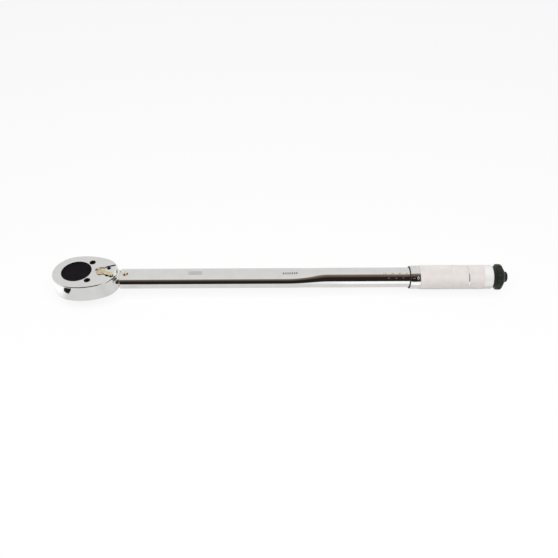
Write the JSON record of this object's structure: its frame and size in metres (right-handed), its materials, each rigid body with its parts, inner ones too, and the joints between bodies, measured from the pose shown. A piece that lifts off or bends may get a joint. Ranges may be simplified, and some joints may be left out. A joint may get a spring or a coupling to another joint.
{
  "type": "torque wrench",
  "caption": "Click-type torque wrench with a reversible ratchet head, square drive, flattened tube, knurled micrometer grip and lock knob.",
  "frame": {"origin": "centre of the drive square's end face", "axes": "+X from the drive axis towards the grip, +Z along the drive axis away from the socket, +Y completes the right-handed frame"},
  "size_m": [0.4924, 0.0524, 0.0409],
  "materials": {
    "head_chrome": "polished chrome plate",
    "tube_chrome": "polished chrome plate",
    "grip_chrome": "satin chrome plate over diamond knurling",
    "plate_steel": "ground steel",
    "black_oxide": "black oxide",
    "gear_black": "black oxide, slightly glossy",
    "bearing_steel": "polished ball",
    "spring_steel": "bright wire",
    "inner_steel": "machined steel with an oil film",
    "lever_nickel": "warm satin nickel",
    "pin_nickel": "warm satin nickel",
    "seal_rubber": "black rubber",
    "knob_plastic": "moulded black plastic",
    "plug_plastic": "moulded black plastic"
  },
  "bodies": {
    "barrel": {"barrel_tube": "tube_chrome", "pivot_pin": "pin_nickel", "end_nut": "inner_steel", "nut_pins": "inner_steel", "thrust_plunger": "inner_steel", "main_spring": "spring_steel"},
    "head": {"ratchet_head": "head_chrome", "cover_plate": "plate_steel", "cover_screws": "black_oxide", "pawl_stop_pins": "black_oxide"},
    "gear": {"drive_gear": "gear_black", "socket_ball_spring": "spring_steel"},
    "ball": {"socket_ball": "bearing_steel"},
    "pawl": {"pawl": "inner_steel"},
    "lever": {"reverse_lever": "lever_nickel", "detent_plunger": "inner_steel", "detent_spring": "spring_steel", "lever_clip": "spring_steel"},
    "block": {"click_block": "inner_steel"},
    "seat": {"spring_seat": "inner_steel", "thrust_ball": "bearing_steel"},
    "grip": {"adjusting_screw": "inner_steel", "grip_sleeve": "grip_chrome", "grip_seal": "seal_rubber", "nut_washer": "inner_steel", "screw_nut": "inner_steel"},
    "lock": {"lock_rod": "inner_steel"},
    "knob": {"lock_stud": "inner_steel", "lock_knob": "knob_plastic", "knob_plug": "plug_plastic"}
  },
  "joints": [
    {"name": "head_click", "type": "hinge", "parent": "barrel", "child": "head", "pos_m": [0.0518, 0, 0.027], "axis": [0, 0, 1], "range_deg": [-1.2, 1.2], "stiffness_Nm_per_rad": 60},
    {"name": "gear_spin", "type": "hinge", "parent": "head", "child": "gear", "pos_m": [0, 0, 0.027], "axis": [0, 0, 1], "continuous": true},
    {"name": "ball_press", "type": "slide", "parent": "gear", "child": "ball", "axis": [-1, 0, 0], "range_m": [0, 0.0007], "stiffness_N_per_m": 500, "deforming": ["socket_ball_spring"]},
    {"name": "lever_swing", "type": "hinge", "parent": "head", "child": "lever", "pos_m": [0.0261, 0, 0.037], "axis": [0, 0, 1], "range_deg": [0, 48]},
    {"name": "pawl_rock", "type": "hinge", "parent": "head", "child": "pawl", "pos_m": [0.0261, 0, 0.025], "axis": [0, 0, 1], "range_deg": [0, 9]},
    {"name": "block_tip", "type": "hinge", "parent": "head", "child": "block", "pos_m": [0.2296, 0, 0.027], "axis": [0, 0, 1], "range_deg": [-33, 33]},
    {"name": "screw_travel", "type": "slide", "parent": "barrel", "child": "seat", "axis": [-1, 0, 0], "range_m": [0, 0.024], "deforming": ["main_spring"]},
    {"name": "grip_turn", "type": "hinge", "parent": "seat", "child": "grip", "pos_m": [0.4, 0, 0.027], "axis": [-1, 0, 0], "range_deg": [0, 4320]},
    {"name": "lock_travel", "type": "slide", "parent": "grip", "child": "lock", "axis": [-1, 0, 0], "range_m": [0, 0.0005]},
    {"name": "knob_turn", "type": "hinge", "parent": "lock", "child": "knob", "pos_m": [0.455, 0, 0.027], "axis": [-1, 0, 0], "range_deg": [0, 180]}
  ],
  "couplings": [
    {"joint": "pawl_rock", "follows": "lever_swing", "ratio": 0.1875},
    {"joint": "block_tip", "follows": "head_click", "ratio": -26.4},
    {"joint": "grip_turn", "follows": "screw_travel", "rad_per_m": 3141.6},
    {"joint": "knob_turn", "follows": "lock_travel", "rad_per_m": 6283.2}
  ]
}
